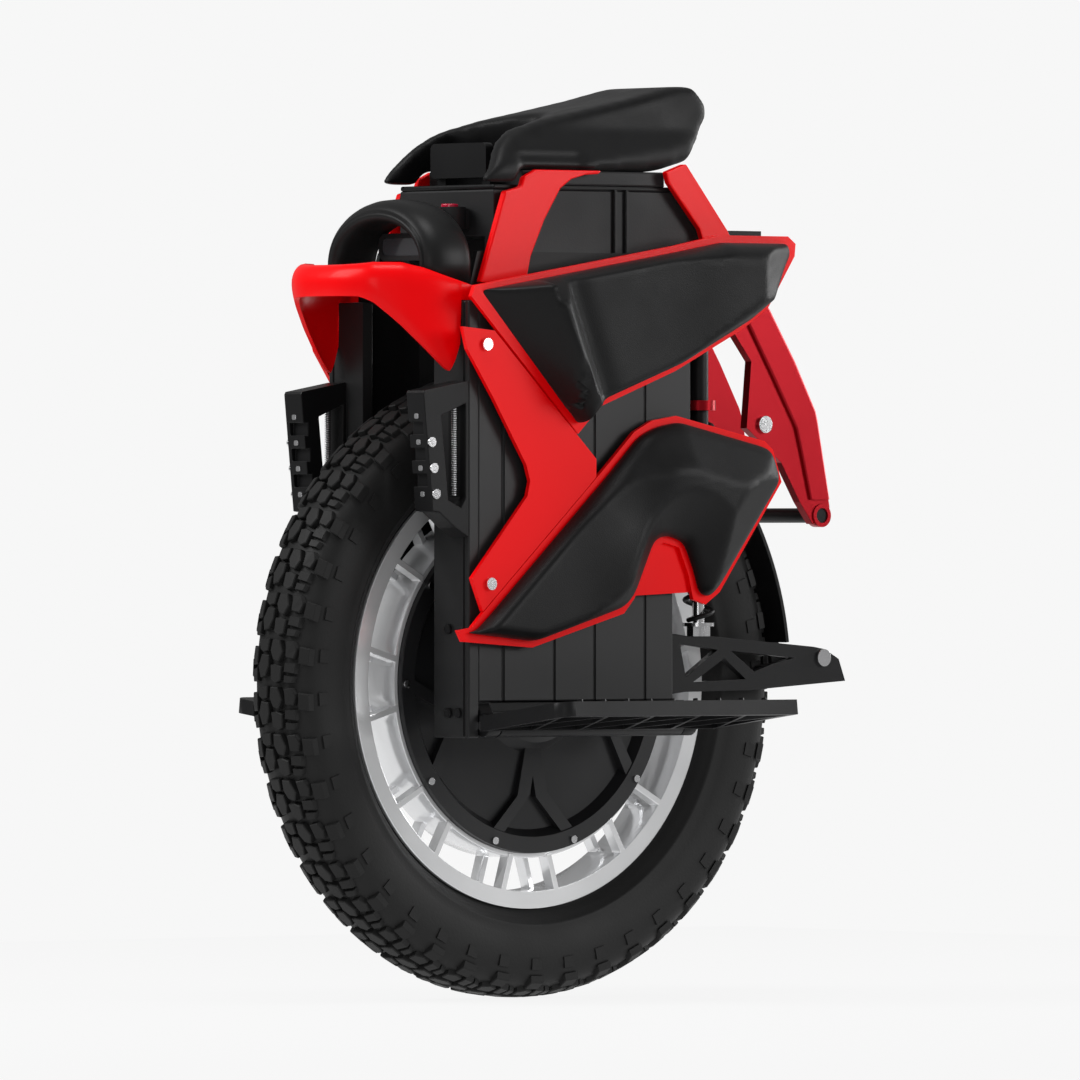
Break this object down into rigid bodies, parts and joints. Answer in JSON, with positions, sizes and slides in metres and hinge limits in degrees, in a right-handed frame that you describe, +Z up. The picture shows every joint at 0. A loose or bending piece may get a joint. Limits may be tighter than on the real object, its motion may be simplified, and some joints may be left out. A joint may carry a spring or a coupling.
{
  "type": "electric unicycle",
  "caption": "Self-balancing electric unicycle with a knobbly tyre, sprung frame, seat, side pads and folding pedals.",
  "frame": {"origin": "on the ground directly under the axle, in the wheel's middle plane, with the suspension fully extended", "axes": "+X forwards, +Y to the rider's left along the axle, +Z up"},
  "size_m": [0.5589, 0.4198, 0.7369],
  "materials": {
    "red_paint": "gloss",
    "red_anodised": "satin",
    "black_paint": "satin",
    "black_alloy": "satin",
    "cast_alloy": "polished",
    "steel": "satin",
    "bright_bolt": "polished",
    "spring_steel": "satin",
    "tyre_rubber": "matt",
    "black_plastic": "matt",
    "gloss_black": "gloss",
    "pad_leather": "satin",
    "lens": "clear",
    "battery": "matt",
    "circuit": "matt",
    "iron": "matt",
    "button_red": "gloss"
  },
  "bodies": {
    "frame": {"left_side_frame": "black_alloy", "right_side_frame": "black_alloy", "left_battery_case": "black_alloy", "right_battery_case": "black_alloy", "battery_packs": "battery", "front_legs": "black_alloy", "front_blocks": "black_paint", "block_bolts": "bright_bolt", "leg_bolts": "black_paint", "controller_case": "black_plastic", "controller_lid": "black_paint", "controller_board": "circuit", "rear_deck": "black_paint", "front_hood": "gloss_black", "headlight_housing": "black_plastic", "headlight_lens": "lens", "front_cowl": "red_paint", "button_base": "black_plastic", "seat_front_legs": "red_paint", "seat_rear_legs": "red_paint", "left_rear_arm": "red_anodised", "right_rear_arm": "red_anodised", "arm_bolts": "bright_bolt", "arm_cross_tube": "black_paint", "left_upper_pad": "pad_leather", "right_upper_pad": "pad_leather", "left_lower_pad": "pad_leather", "right_lower_pad": "pad_leather", "upper_pad_trims": "red_paint", "lower_pad_trims": "red_paint", "pad_brackets": "red_paint", "bracket_bolts": "bright_bolt", "seat_cushion": "pad_leather", "seat_base": "black_plastic", "carry_grip": "black_paint", "pedal_hangers": "black_paint", "pedal_pins": "steel", "shock_bodies": "black_alloy", "shock_collars": "red_anodised", "shock_springs": "spring_steel"},
    "wheel_carrier": {"axle": "steel", "motor_stator": "iron", "left_carrier_plate": "black_alloy", "right_carrier_plate": "black_alloy", "axle_nuts": "steel", "rear_stays": "black_paint", "stay_bolts": "bright_bolt", "stay_cross_tube": "black_paint", "mudguard": "black_paint", "shock_shafts": "steel"},
    "wheel": {"tyre": "tyre_rubber", "rim": "cast_alloy", "magnet_ring": "iron", "left_motor_cover": "black_alloy", "right_motor_cover": "black_alloy", "wheel_bearings": "steel", "motor_cover_bolts": "bright_bolt"},
    "left_pedal": {"left_pedal": "black_paint"},
    "right_pedal": {"right_pedal": "black_paint"},
    "power_button": {"power_button": "button_red"}
  },
  "joints": [
    {"name": "suspension", "type": "slide", "parent": "frame", "child": "wheel_carrier", "axis": [0, 0, 1], "range_m": [0, 0.09], "stiffness_N_per_m": 9000, "springref_m": -0.05, "deforming": ["shock_springs"]},
    {"name": "wheel_spin", "type": "hinge", "parent": "wheel_carrier", "child": "wheel", "pos_m": [0, 0, 0.254], "axis": [0, 1, 0], "continuous": true},
    {"name": "left_pedal_fold", "type": "hinge", "parent": "frame", "child": "left_pedal", "pos_m": [0, 0.092, 0.221], "axis": [1, 0, 0], "range_deg": [0, 55]},
    {"name": "right_pedal_fold", "type": "hinge", "parent": "frame", "child": "right_pedal", "pos_m": [0, -0.092, 0.221], "axis": [-1, 0, 0], "range_deg": [0, 55]},
    {"name": "power_button_press", "type": "slide", "parent": "frame", "child": "power_button", "axis": [0, 0, -1], "range_m": [0, 0.002], "stiffness_N_per_m": 300, "springref_m": -0.002}
  ]
}
